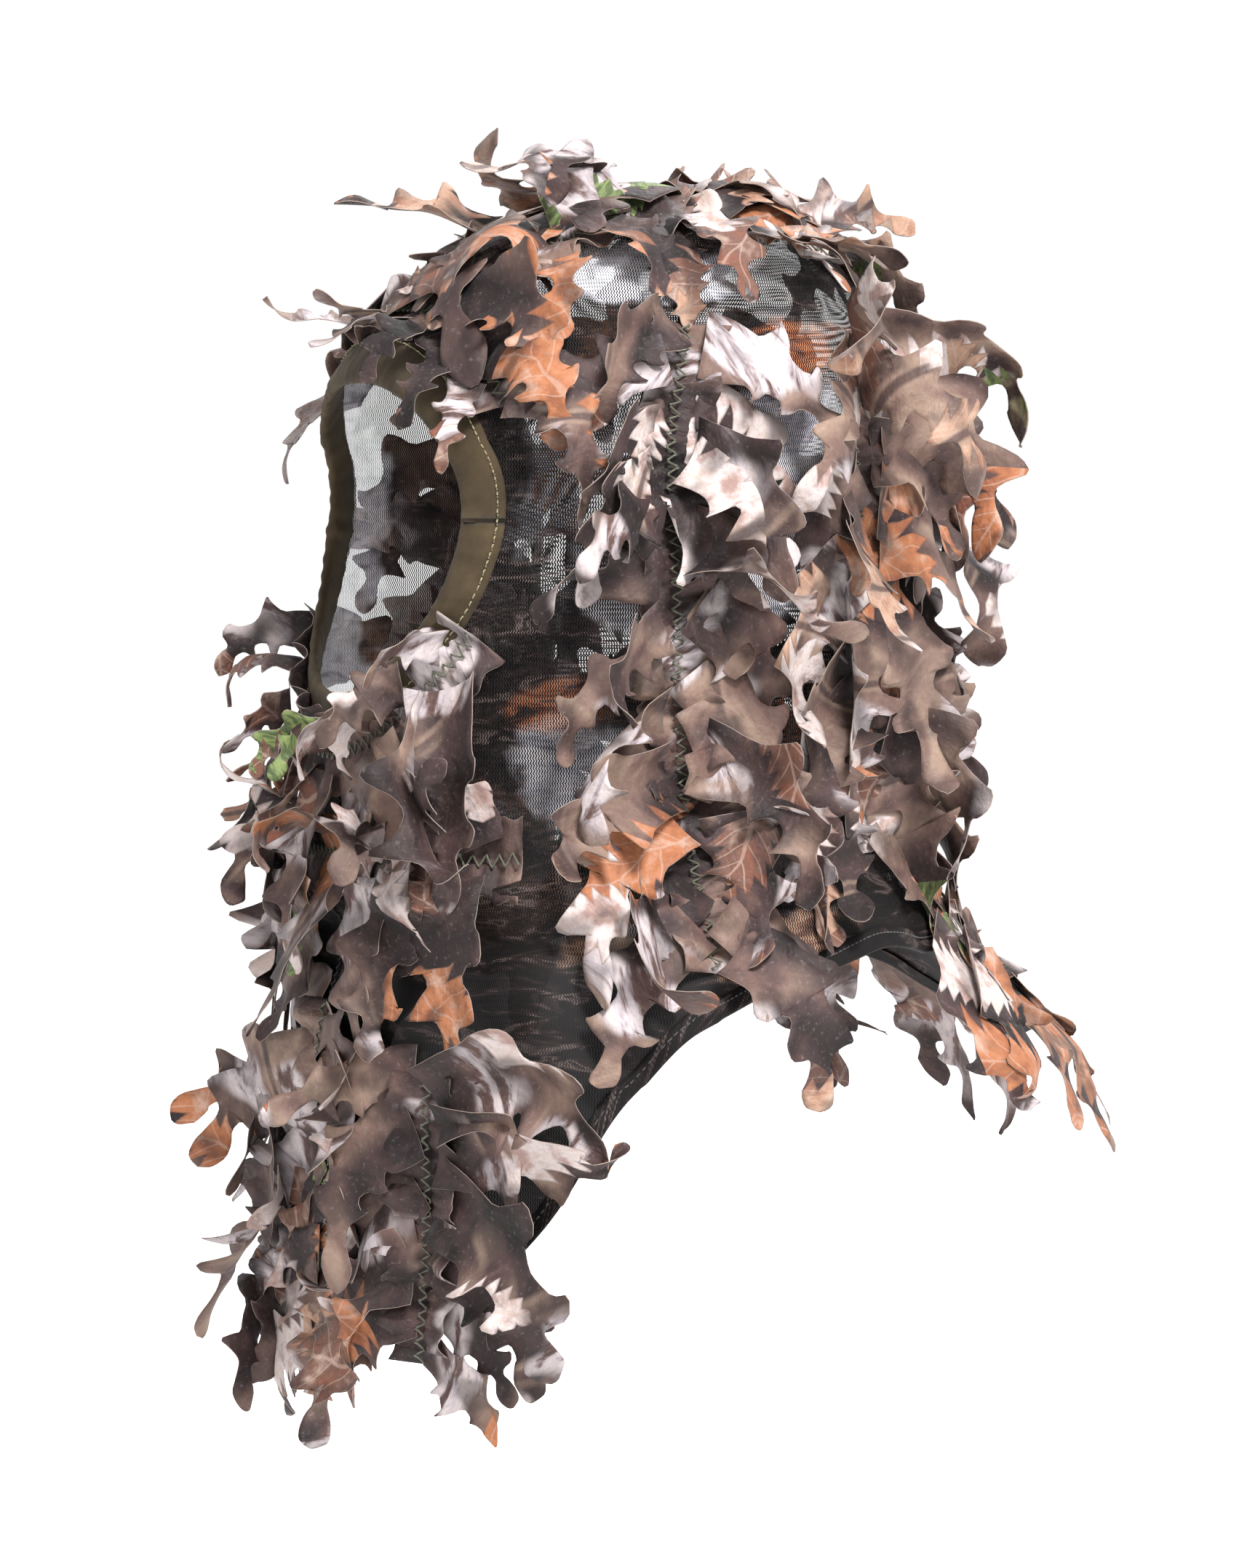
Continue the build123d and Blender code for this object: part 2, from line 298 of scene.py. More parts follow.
def folds(theta, v):
    """How far the worn cloth stands off the smooth hood: slack folds, a tuck under the chin, and puckers."""
    p = bare_point(theta, v)
    z = p[..., 2]
    neck = ease(-z, 150, 260)
    ripples = np.sin(13 * theta + 2.5 * noise(p, 90, 3)) * (1.2 + 2.2 * ease(-z, 230, 330)) * neck
    crumple = 1.3 * noise(p * (1, 1, 0.5), 26, 5) + 0.7 * noise(p, 11, 6)
    front = ease(np.cos(theta), -0.2, 0.5)
    tucked, hollow = np.exp(-((z - CHIN_TUCK_Z) / 9) ** 2), np.exp(-((z - CHIN_HOLLOW_Z) / 6) ** 2)
    tuck = front * (5.5 * tucked - 3.5 * hollow)
    reach = opening_reach(p)
    swirl = np.arctan2(z - OPENING_CENTRE_Z, p[..., 0])
    beside = np.exp(-np.maximum(reach - 1.25, 0) * 5) * (reach < 3)
    puckers = 0.15 * beside * np.sin(58 * swirl + 3 * noise(p, 40, 9))
    slack = 2.2 * noise(p * (1, 1, 1.6), 55, 8) * ease(-z, 20, 120)
    return (ripples + crumple + tuck + slack) * (1 - 0.8 * beside) + puckers


def cloth_point(theta, v, lift=0.0):
    """A point of the worn cloth, lift above it."""
    stand = (folds(theta, v) + lift)[..., None]
    return bare_point(theta, v) + bare_normal(theta, v) * stand


# ---- meshes
def new_mesh(name, points, faces, uv=None, material=None):
    """A smooth mesh object from points in millimetres, with uv given for each point."""
    mesh = bpy.data.meshes.new(name)
    mesh.from_pydata((np.asarray(points) * MM).tolist(), [], [list(map(int, f)) for f in faces])
    mesh.polygons.foreach_set("use_smooth", np.ones(len(mesh.polygons), bool))
    if uv is not None:
        loops = np.zeros(len(mesh.loops), np.int32)
        mesh.loops.foreach_get("vertex_index", loops)
        layer = mesh.uv_layers.new(name="cut")
        layer.data.foreach_set("uv", np.asarray(uv, np.float32)[loops].ravel())
    obj = bpy.data.objects.new(name, mesh)
    bpy.context.scene.collection.objects.link(obj)
    if material is not None:
        mesh.materials.append(material)
    return obj


def grid_faces(rows, columns, start=0, closed=False):
    """Quads of a grid whose points are in rows; closed joins the last column to the first."""
    i, j = np.meshgrid(np.arange(rows - 1), np.arange(columns if closed else columns - 1), indexing="ij")
    after = (j + 1) % columns
    quads = [i * columns + j, i * columns + after, (i + 1) * columns + after, (i + 1) * columns + j]
    return np.stack(quads, axis=-1).reshape(-1, 4) + start


def tube(path, radius, sides=6):
    """Points and faces of a tube along a path, with closed ends."""
    path = np.asarray(path, float)
    along = unit(np.gradient(path, axis=0))
    across = unit(np.cross(along, np.where(np.abs(along[:, 2:]) > 0.9, (1.0, 0, 0), (0, 0, 1.0))))
    third = np.cross(along, across)
    angle = np.arange(sides) * math.tau / sides
    ring = across[:, None] * np.cos(angle)[:, None] + third[:, None] * np.sin(angle)[:, None]
    radii = np.broadcast_to(np.asarray(radius, float), len(path))[:, None, None]
    points = (path[:, None] + ring * radii).reshape(-1, 3)
    faces = [list(f) for f in grid_faces(len(path), sides, closed=True)]
    faces += [list(range(sides))[::-1], [len(points) - sides + k for k in range(sides)]]
    return points, faces


class Gathered:
    """Points, faces and uv of many small shapes that become one mesh."""

    def __init__(self):
        self.points, self.faces, self.uv, self.kinds, self.count = [], [], [], [], 0

    def add(self, points, faces, uv=None, kind=0):
        self.points.append(np.asarray(points, float).reshape(-1, 3))
        added = len(self.points[-1])
        self.faces += [[int(k) + self.count for k in f] for f in faces]
        self.kinds += [kind] * len(faces)
        self.uv.append(np.zeros((added, 2)) if uv is None else np.asarray(uv, float).reshape(-1, 2))
        self.count += added

    def build(self, name, *materials):
        obj = new_mesh(name, np.concatenate(self.points), self.faces, np.concatenate(self.uv))
        for material in materials:
            obj.data.materials.append(material)
        obj.data.polygons.foreach_set("material_index", np.array(self.kinds, np.int32))
        return obj

    def flat_area(self):
        """Area in square metres of the cloth as cut, from its flat places."""
        uv = np.concatenate(self.uv)
        quads = np.array([f for f in self.faces if len(f) == 4])
        a, b, c, d = (uv[quads[:, k]] for k in range(4))
        first, second = c - a, d - b
        return float(np.abs(first[:, 0] * second[:, 1] - first[:, 1] * second[:, 0]).sum() / 2) * MM * MM


# ---- shader nodes in words
class Shader:
    """Builds a material's node tree from expressions."""

    def __init__(self, name):
        self.material = bpy.data.materials.new(name)
        self.material.use_nodes = True
        self.tree = self.material.node_tree
        self.shader = self.tree.nodes["Principled BSDF"]

    def put(self, socket, value):
        if isinstance(value, bpy.types.NodeSocket):
            self.tree.links.new(value, socket)
        elif value is not None:
            socket.default_value = value

    def node(self, kind, inputs=(), **settings):
        made = self.tree.nodes.new("ShaderNode" + kind)
        for key, value in settings.items():
            setattr(made, key, value)
        for key, value in dict(inputs).items():
            self.put(made.inputs[key], value)
        return made

    def math(self, operation, a, b=None):
        return self.node("Math", {0: a, 1: b}, operation=operation).outputs[0]

    def add(self, a, b):
        return self.math("ADD", a, b)

    def sub(self, a, b):
        return self.math("SUBTRACT", a, b)

    def times(self, a, b):
        return self.math("MULTIPLY", a, b)

    def step(self, value, low, high, most=1.0):
        """0 at low and most at high, smoothly."""
        ranged = self.node("MapRange", {"Value": value, "From Min": low, "From Max": high, "To Max": most},
                           interpolation_type="SMOOTHSTEP")
        return ranged.outputs[0]

    def ramp(self, value, stops, constant=False):
        made = self.node("ValToRGB", {"Fac": value})
        made.color_ramp.interpolation = "CONSTANT" if constant else "LINEAR"
        elements = made.color_ramp.elements
        while len(elements) < len(stops):
            elements.new(1.0)
        for element, (at, colour) in zip(elements, stops):
            element.position = at
            element.color = (*colour, 1)
        return made.outputs[0]

    def mix(self, share, a, b, kind="MIX"):
        """Colour a where share is 0 and b where it is 1; a Mix node keeps its colours at inputs 6 and 7."""
        made = self.node("Mix", {"Factor": share}, data_type="RGBA", blend_type=kind)
        for place, value in ((6, a), (7, b)):
            self.put(made.inputs[place], (*value, 1) if isinstance(value, tuple) else value)
        return made.outputs[2]

    def over(self, colour, *layers):
        """A colour with others laid over it in turn, each (share, colour)."""
        for share, above in layers:
            colour = self.mix(share, colour, above)
        return colour

    def noise(self, vector, size, detail=2.0, rough=0.5, distortion=0.0, **moved):
        """Noise of a given scale, named size; moved says how the vector is mapped first."""
        inputs = {"Vector": self.mapped(vector, **moved) if moved else vector, "Scale": size,
                  "Detail": detail, "Roughness": rough, "Distortion": distortion}
        return self.node("TexNoise", inputs).outputs["Fac"]

    def mapped(self, vector, scale=(1, 1, 1), turn=0.0, place=(0, 0, 0)):
        made = self.node("Mapping", {"Vector": vector, "Scale": scale, "Rotation": (0, 0, turn),
                                     "Location": place})
        return made.outputs[0]

    def flat_place(self):
        """Millimetres on the cloth as cut."""
        return self.node("UVMap", uv_map="cut").outputs[0]

    def parts(self, vector):
        return self.node("SeparateXYZ", {0: vector}).outputs

    def bump(self, height, distance, strength=1.0, under=None):
        made = self.node("Bump", {"Height": height, "Distance": distance, "Strength": strength})
        self.put(made.inputs["Normal"], under)
        return made.outputs[0]

    def finish(self, **values):
        for key, value in values.items():
            self.put(self.shader.inputs[key.replace("_", " ")], value)
        return self.material


def srgb(code):
    """A linear colour from a written sRGB code."""
    parts = [int(code[k:k + 2], 16) / 255 for k in (0, 2, 4)]
    return tuple(c / 12.92 if c <= 0.04045 else ((c + 0.055) / 1.055) ** 2.4 for c in parts)


TAUPE, KHAKI, MAUVE, UMBER, CHARCOAL, SOOT = map(srgb, "7d665b 9a8474 66504a 463534 2c2222 120e0e".split())
CREAM, BARK_WHITE, SAND, TAN, ORANGE = map(srgb, "d6ccc8 bfb7ba c9b2a2 b18f78 b27550".split())
RUST, CHESTNUT, FERN, MOSS, SILVER = map(srgb, "85503a 6f5044 7f9258 4f5f3c 9fa1ad".split())


def printed_leaves(sh, where, size, seed):
    """Scattered printed oak leaves: (mask, veins, number of each leaf, depth inside its edge) as sockets."""
    moved = sh.mapped(where, place=(seed * 37.3, seed * 19.1, 0))
    bent = sh.noise(moved, 0.05, 1.0)
    cells = sh.node("TexVoronoi", {"Vector": moved, "Scale": 1 / size, "Randomness": 0.85},
                    voronoi_dimensions="2D")
    local = sh.node("VectorMath", {0: moved, 1: cells.outputs["Position"]}, operation="SUBTRACT").outputs[0]
    number = sh.parts(cells.outputs["Color"])
    turn = sh.times(number[0], 6.283)
    turned = sh.node("VectorRotate", {"Vector": local, "Angle": turn}, rotation_type="Z_AXIS").outputs[0]
    x, y, _ = sh.parts(turned)
    y = sh.add(y, sh.times(sh.sub(bent, 0.5), size * 0.25))
    away = sh.math("ABSOLUTE", y)
    along = sh.math("DIVIDE", x, size * 0.62)
    crown = sh.math("MAXIMUM", sh.sub(1.0, sh.times(along, along)), 0.0)
    lobes = sh.math("PINGPONG", sh.sub(x, sh.times(away, 0.6)), size * 0.075)
    half = sh.times(sh.math("SQRT", crown), sh.add(size * 0.17, sh.times(lobes, 2.2)))
    mask = sh.step(sh.sub(half, away), -0.3, 0.5)
    side_vein = sh.math("PINGPONG", sh.add(sh.sub(x, sh.times(away, 0.85)), 500.0), size * 0.075)
    veins = sh.math("MAXIMUM", sh.step(side_vein, 0.55, 0.1), sh.step(away, 0.9, 0.35))
    return mask, veins, number[1], sh.sub(half, away)


def camo_print(sh, where):
    """The camouflage print on the leaf cloth: soft shading, bark, twigs and printed leaves."""
    tone = sh.noise(where, 0.011)
    soft = sh.noise(where, 0.035, 3.0, 0.5, 0.8, place=(70, 20, 5))
    fine = sh.noise(where, 0.5, 4.0, 0.65)
    ground = sh.ramp(soft, [(0.30, UMBER), (0.42, MAUVE), (0.52, TAUPE), (0.64, KHAKI)])
    shade = sh.ramp(soft, [(0.30, SOOT), (0.45, CHARCOAL), (0.60, UMBER), (0.72, MAUVE)])
    colour = sh.mix(sh.step(tone, 0.56, 0.47), ground, shade)
    # bark: soft pale streaks in places
    bark_zone = sh.step(sh.noise(where, 0.018, place=(11, 83, 2)), 0.54, 0.60)
    grain = sh.noise(where, 1.0, 4.0, 0.6, 0.6, scale=(0.035, 0.12, 1), turn=0.5)
    bark = sh.ramp(grain, [(0.30, UMBER), (0.42, MAUVE), (0.50, BARK_WHITE), (0.62, CREAM), (0.74, TAUPE)])
    colour = sh.mix(bark_zone, colour, bark)
    # printed leaves in two sizes
    for size, seed, some in ((66.0, 1, 0.44), (44.0, 4, 0.62)):
        mask, veins, number, depth = printed_leaves(sh, where, size, seed)
        shown = sh.times(mask, sh.step(number, some, some + 0.01))
        body = sh.ramp(number, [(0.0, CHESTNUT), (some + 0.09, ORANGE), (0.74, TAN), (0.80, CHESTNUT),
                                (0.84, CREAM)], constant=True)
        blotch = sh.noise(where, 0.075, 4.0, 0.6, place=(9 * seed, 3, 1))
        body = sh.over(body, (sh.step(blotch, 0.47, 0.64, 0.65), RUST),
                             (sh.step(blotch, 0.48, 0.30, 0.60), SAND), (sh.times(veins, 0.38), SAND),
                             (sh.step(depth, 2.2, 0.2, 0.50), UMBER))
        colour = sh.mix(shown, colour, body)
    # a few ferns
    mask, _, number, _ = printed_leaves(sh, where, 40.0, 9)
    fronds = sh.step(sh.noise(where, 1.0, scale=(0.5, 0.12, 1), turn=0.9), 0.42, 0.58)
    green = sh.mix(fronds, MOSS, FERN)
    colour = sh.mix(sh.times(mask, sh.step(number, 0.972, 0.975)), colour, green)
    # twigs: soft dark lines with a paler side
    twig = sh.node("TexVoronoi", {"Vector": sh.mapped(where, scale=(0.28, 1, 1), turn=-0.7), "Scale": 0.016},
                   feature="DISTANCE_TO_EDGE", voronoi_dimensions="2D").outputs["Distance"]
    twig_zone = sh.step(sh.noise(where, 0.022, 1.0, place=(5, 5, 9)), 0.53, 0.60)
    colour = sh.over(colour, (sh.times(sh.step(twig, 0.060, 0.035), sh.times(twig_zone, 0.6)), KHAKI),
                             (sh.times(sh.step(twig, 0.030, 0.010), sh.times(twig_zone, 0.8)), UMBER))
    # airbrushed shading and ink grain
    mist = sh.noise(where, 0.05, place=(31, 7, 4))
    colour = sh.over(colour, (sh.step(mist, 0.50, 0.66, 0.6), CHARCOAL),
                             (sh.step(fine, 0.5, 0.75, 0.22), CHARCOAL),
                             (sh.step(fine, 0.45, 0.25, 0.14), CREAM))
    return sh.mix(1.0, colour, PRINT_TINT, "MULTIPLY")


def leaf_cloth_material():
    sh = Shader("leaf_cloth")
    where = sh.flat_place()
    colour = camo_print(sh, where)
    twill = sh.math("SINE", sh.times(sh.add(*sh.parts(where)[:2]), 14.0))
    nap = sh.noise(where, 2.2, 4.0, 0.7)
    creases = sh.noise(where, 0.09, 3.0, 0.55, 0.5)
    normal = sh.bump(creases, 0.0028, 0.6)
    normal = sh.bump(sh.noise(where, 0.30, 3.0, 0.6, 1.0, place=(3, 60, 8)), 0.0007, 0.5, normal)
    normal = sh.bump(sh.add(sh.times(twill, 0.25), nap), 0.00012, 0.45, normal)
    rough = sh.add(0.52, sh.times(nap, 0.16))
    return sh.finish(Base_Color=colour, Roughness=rough, Normal=normal, Sheen_Weight=0.03,
                     Sheen_Roughness=0.4, Specular_IOR_Level=0.20)


def cut_edge_material():
    sh = Shader("cut_edge")
    where = sh.flat_place()
    colour = sh.mix(sh.noise(where, 0.3), srgb("85766c"), srgb("5f514b"))
    return sh.finish(Base_Color=colour, Roughness=0.7)


def mesh_cloth_material(name, closed=0.0):
    """Printed warp-knit mesh: zigzag wales with holes between them."""
    sh = Shader(name)
    where = sh.flat_place()
    u, v, _ = sh.parts(where)
    wobble = sh.sub(sh.noise(where, 0.025, 1.0), 0.5)
    zigzag = sh.sub(sh.math("PINGPONG", v, 0.9), 0.45)
    across = sh.add(sh.add(u, sh.times(zigzag, 0.62)), sh.times(wobble, 4.0))
    wale = sh.math("PINGPONG", across, 0.5)
    yarn = sh.step(sh.add(wale, sh.step(v, 290.0, 240.0, 0.03)), 0.36, 0.25)
    # lower down the cloth the mesh is closed almost fully: partly for a real mesh that looks closed at a
    # slant and in two layers, partly painted shade, the dark inside of the hood shown as closed dark mesh
    closed_and_shaded = sh.step(v, 285.0, 330.0, 0.985)
    solid = sh.math("MAXIMUM", yarn, sh.math("MAXIMUM", closed_and_shaded, closed) if closed else closed_and_shaded)
    # the print: dark ground with streaks, and a few silver, brown and orange patches
    sideways = sh.sub(u, sh.times(sh.math("GREATER_THAN", u, LEFT_PRINT / 2), LEFT_PRINT))
    wander = sh.noise(where, 0.03, 3.0, 0.6)

    def patch(u0, v0, wide, high):
        """1 in the middle of a soft-edged patch, on both sides of the hood."""
        a = sh.math("DIVIDE", sh.sub(sideways, u0), wide)
        b = sh.math("DIVIDE", sh.sub(v, v0), high)
        far = sh.math("SQRT", sh.add(sh.times(a, a), sh.times(b, b)))
        return sh.step(sh.add(far, sh.times(sh.sub(wander, 0.5), 2.6)), 1.15, 0.75)

    streak = sh.noise(where, 1.0, 4.0, 0.65, 1.2, scale=(0.035, 0.14, 1), turn=0.25)
    ground = sh.ramp(streak, [(0.38, srgb("0c0a0b")), (0.50, SOOT), (0.57, CHARCOAL), (0.62, srgb("5d5350")),
                              (0.68, SOOT)])
    silver = sh.ramp(streak, [(0.30, srgb("8a8790")), (0.44, srgb("d0d1dc")), (0.60, srgb("f2f2f6")),
                              (0.76, SILVER)])
    brown = sh.ramp(streak, [(0.30, CHARCOAL), (0.45, CHESTNUT), (0.58, TAN), (0.7, UMBER)])
    orange = sh.ramp(streak, [(0.38, CHARCOAL), (0.47, RUST), (0.56, ORANGE), (0.66, CHESTNUT)])
    right_side = sh.math("LESS_THAN", u, LEFT_PRINT / 2)
    colour = ground
    for place, share, print_there in (
            ((42, 168, 34, 44), 1.0, silver), ((44, 112, 30, 14), 1.0, orange),
            ((-46, 268, 20, 22), 0.4, silver), ((-50, 243, 20, 9), 0.6, orange),
            ((-92, 190, 34, 80), right_side, silver), ((10, 330, 50, 14), 1.0, brown),
            ((-30, 70, 40, 18), 1.0, silver)):
        colour = sh.mix(sh.times(patch(*place), share), colour, print_there)
    normal = sh.bump(yarn, 0.00025, 0.7)
    # painted shade: the yarns darken towards the holes between the wales, and where the mesh is closed the
    # holes are near black, standing for the shaded inside of the hood
    colour = sh.mix(sh.step(wale, 0.12, 0.36, 0.9), colour, SOOT)
    colour = sh.mix(1.0, colour, MESH_TINT, "MULTIPLY")
    return sh.finish(Base_Color=colour, Alpha=solid, Normal=normal, Roughness=0.7,
                     Specular_IOR_Level=0.15)


def binding_material():
    sh = Shader("olive_binding")
    where = sh.flat_place()
    u, v, _ = sh.parts(where)
    knit = sh.times(sh.math("SINE", sh.times(u, 7.0)), sh.math("SINE", sh.times(v, 9.0)))
    nap = sh.noise(where, 1.6, 5.0, 0.75)
    cloud = sh.noise(where, 0.07, 3.0, 0.6)
    colour = sh.ramp(cloud, [(0.3, srgb("2a2217")), (0.55, srgb("372d1f")), (0.75, srgb("423727"))])
    colour = sh.over(colour, (sh.step(nap, 0.5, 0.8, 0.30), srgb("5f533c")),
                             (sh.step(nap, 0.45, 0.2, 0.35), srgb("231f15")))
    normal = sh.bump(cloud, 0.001, 0.4)
    normal = sh.bump(sh.add(sh.times(knit, 0.3), nap), 0.00018, 0.6, normal)
    return sh.finish(Base_Color=colour, Roughness=0.85, Normal=normal, Sheen_Weight=0.04, Sheen_Roughness=0.5,
                     Specular_IOR_Level=0.15)


def thread_material(name, light, deep):
    sh = Shader(name)
    where = sh.node("TexCoord").outputs["Object"]
    ply = sh.noise(where, 2600.0)
    colour = sh.mix(sh.step(ply, 0.35, 0.65), deep, light)
    normal = sh.bump(ply, 0.0001, 0.5)
    return sh.finish(Base_Color=colour, Roughness=0.6, Normal=normal, Sheen_Weight=0.2)


LEAF_CLOTH = leaf_cloth_material()
CUT_EDGE = cut_edge_material()
MESH_CLOTH = mesh_cloth_material("camo_mesh")
HEM_CLOTH = mesh_cloth_material("folded_mesh", closed=0.93)
BINDING = binding_material()
TAPE_THREAD = thread_material("tape_thread", srgb("4a4a34"), srgb("23241a"))
BINDING_THREAD = thread_material("binding_thread", srgb("837c58"), srgb("565034"))
SEAM_THREAD = thread_material("seam_thread", srgb("3a3732"), srgb("17161a"))


# ---- the mesh hood
def cloth_grid():
    """The hood's cloth as a grid: angles, points, smooth points and flat places."""
    columns = 312
    theta = np.arange(-columns // 2, columns // 2 + 1) * (math.tau / columns)
    v = np.concatenate([[2.0, 4.0, 7.0], np.arange(10.0, RUN, CLOTH_STEP)])
    around, down = np.meshgrid(theta, v)
    points = cloth_point(around, down)
    bare = bare_point(around, down)
    steps = np.linalg.norm(np.diff(bare[:, :, :2], axis=1), axis=2)
    length = np.concatenate([np.zeros((len(v), 1)), np.cumsum(steps, axis=1)], axis=1)
    left, right = 3 * columns // 4, columns // 4
    flat = np.where(around > 0, length - length[:, left:left + 1], length[:, right:right + 1] - length)
    return around, points, bare, np.stack([flat + LEFT_PRINT * (around > 0), down], axis=-1)


def cloth_zone(points):
    """0 for the hood, 1 for the bib and 2 for the nape flap, by where each point's cloth starts to bend."""
    bib = (points[..., 1] + points[..., 2] < BIB_BLEND[0]) & (points[..., 1] < 40)
    nape = (points[..., 2] - points[..., 1] < NAPE_BLEND[0]) & (points[..., 1] > 40)
    return np.where(bib, 1, np.where(nape, 2, 0))


def bend(obj, zone):
    """Ties a piece to the hood, or, for the bib and the nape flap, bakes its placing into its points."""
    if zone == 0:
        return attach(obj, "hood")
    if zone == 1:
        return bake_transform(obj)
    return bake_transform(obj)


def build_cloth():
    """Left and right mesh panels of the hood, the bib and the nape."""
    around, points, bare, flat = cloth_grid()
    rows, columns = around.shape
    faces = grid_faces(rows, columns)
    middle = bare.reshape(-1, 3)[faces].mean(axis=1)
    side = around.reshape(-1)[faces].mean(axis=1)
    under_binding = opening_reach(middle) > 1.07
    above_hem = middle[:, 2] > hem_height(middle[:, 1]) + 2.5
    zone = cloth_zone(middle)
    for z, name in enumerate(("hood", "bib", "nape")):
        for left in (True, False):
            mine = faces[under_binding & above_hem & (zone == z) & ((side > 0) == left)]
            used, again = np.unique(mine, return_inverse=True)
            side_name = "left" if left else "right"
            uv = flat.reshape(-1, 2)[used]
            if left:
                column_zero = columns // 2
                at_seam = used % columns == column_zero
                uv[at_seam, 0] = flat[:, column_zero + 1, 0][used[at_seam] // columns] - CLOTH_STEP
            panel = new_mesh(f"{name}_cloth_{side_name}", points.reshape(-1, 3)[used], again.reshape(-1, 4),
                             uv, MESH_CLOTH)
            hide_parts(f"{name}_mesh_{side_name}")
            bend(panel, z)
            declare_sheet(panel)


def declare_sheet(obj):
    """Works out the loop triangles of obj's mesh."""
    obj.data.calc_loop_triangles()


# ---- binding, hems and seams
def build_binding():
    """A folded olive band round the face opening, with a butt seam at its side and its line of stitches."""
    count = 300
    share = np.arange(count) / count
    profile = np.array([(13.5, -1.5), (8, -1.9), (3, -1.8), (0.8, -1.4), (-0.2, -0.6), (-0.4, 0.3),
                        (0.1, 1.1), (1.2, 1.9), (3.2, 2.5), (6, 2.7), (9, 2.5), (12, 2.6), (14.6, 2.3),
                        (16.0, 1.9), (16.7, 1.2), (16.6, 0.3)])
    margin, lift = profile[:, 0], profile[:, 1]
    x, z = opening_point(share[:, None], margin)
    theta, v = face_spot(x, z)
    bare = bare_point(theta, v)
    crease = 0.5 * noise(bare, 14, 21) + 0.3 * noise(bare, 5, 22)
    pull = 0.14 * np.sin(math.tau * 74 * share[:, None] + 3 * noise(bare, 30, 23)) * ease(9 - margin, 0, 8)
    seam = 0.9 * np.exp(-((share[:, None] - 0.515) * count / 1.3) ** 2)
    points = cloth_point(theta, v, lift + (crease + pull + seam) * np.sign(lift + 0.01))
    girth = travelled(points[:, 7])
    flat = pairs(girth[:, None], np.cumsum(np.hypot(*np.gradient(profile, axis=0).T)))
    band = Gathered()
    rows, columns = points.shape[:2]
    band.add(points, grid_faces(rows, columns), flat)
    last = np.stack([np.arange(columns - 1) + (rows - 1) * columns, np.arange(columns - 1),
                     np.arange(1, columns), np.arange(1, columns) + (rows - 1) * columns], axis=-1)
    band.faces += last.tolist()
    band.kinds += [0] * len(last)
    stitches = 168
    for k in range(stitches):
        along = (k + np.array([0.14, 0.3, 0.5, 0.7, 0.86])) / stitches
        x, z = opening_point(along, 14.3)
        path = cloth_point(*face_spot(x, z), 2.55 + np.array([-0.35, 0.25, 0.4, 0.25, -0.35]))
        path += 0.12 * noise(path, 2, 24)[:, None]
        band.add(*tube(path, 0.30, 5), kind=1)
    obj = band.build("face_binding_band", BINDING, BINDING_THREAD)
    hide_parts("face_binding", "binding_stitching")
    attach(obj, "hood")


def hem_line(theta):
    """The way down the cloth where it meets the hem line, at each angle."""
    v = np.full_like(theta, 380.0)
    for _ in range(60):
        v += 0.5 * (height_at(v) - hem_height(bare_point(theta, v)[:, 1]))
    return v


def build_hems():
    """Narrow folded hems with a line of stitches, cut where the hood meets the bib and the nape flap."""
    count = 720
    theta = (np.arange(count) + 0.5) * (math.tau / count) - math.pi
    v = hem_line(theta)
    edge = bare_point(theta, v)
    along = np.gradient(v) / np.maximum(np.linalg.norm(np.gradient(edge, axis=0)[:, :2], axis=1), 0.1)
    lean = np.sqrt(1 + along * along)
    zone = cloth_zone(edge)
    profile = np.array([(HEM_FOLD, 0.2), (HEM_FOLD, 0.9), (5.2, 1.1), (3.5, 0.9), (1.5, 1.1), (0.3, 0.8),
                        (0, 0), (0.3, -0.8), (1.5, -1.0), (HEM_FOLD, -0.8)])
    up, lift = profile[:, 0], profile[:, 1]
    uneven = 0.3 * noise(edge, 9, 31)[:, None]
    points = cloth_point(theta[:, None], v[:, None] - up * lean[:, None], lift + uneven)
    girth = travelled(edge)
    turned = np.cumsum(np.hypot(*np.gradient(profile.T)[1]))
    flat = pairs(girth[:, None], v[:, None] - turned)
    pieces = [("shoulder_hem_left", (zone == 0) & (theta > 0), 0),
              ("shoulder_hem_right", (zone == 0) & (theta < 0), 0),
              ("bib_hem", zone == 1, 1), ("nape_hem", zone == 2, 2)]
    for name, mine, bends in pieces:
        columns = len(profile)
        hem = Gathered()
        groups = unbroken(mine)
        if name == "nape_hem":
            groups = [np.concatenate([groups[-1], groups[0]])]
        for group in groups:
            longer = np.concatenate([group, [(group[-1] + 1) % count]])
            hem.add(points[longer], grid_faces(len(longer), columns), flat[longer])
            for k in group[::2]:
                nearby = np.linspace(0.1, 1.5, 4)
                at = theta[k] + nearby * (math.tau / count)
                down = np.interp(at, theta, v) - 4.6 * lean[k]
                path = cloth_point(at, down, 1.0 + np.array([-0.3, 0.35, 0.35, -0.3]))
                hem.add(*tube(path, 0.26, 4), kind=1)
        obj = hem.build(name + "_fold", HEM_CLOTH, SEAM_THREAD)
        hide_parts(name)
        bend(obj, bends)


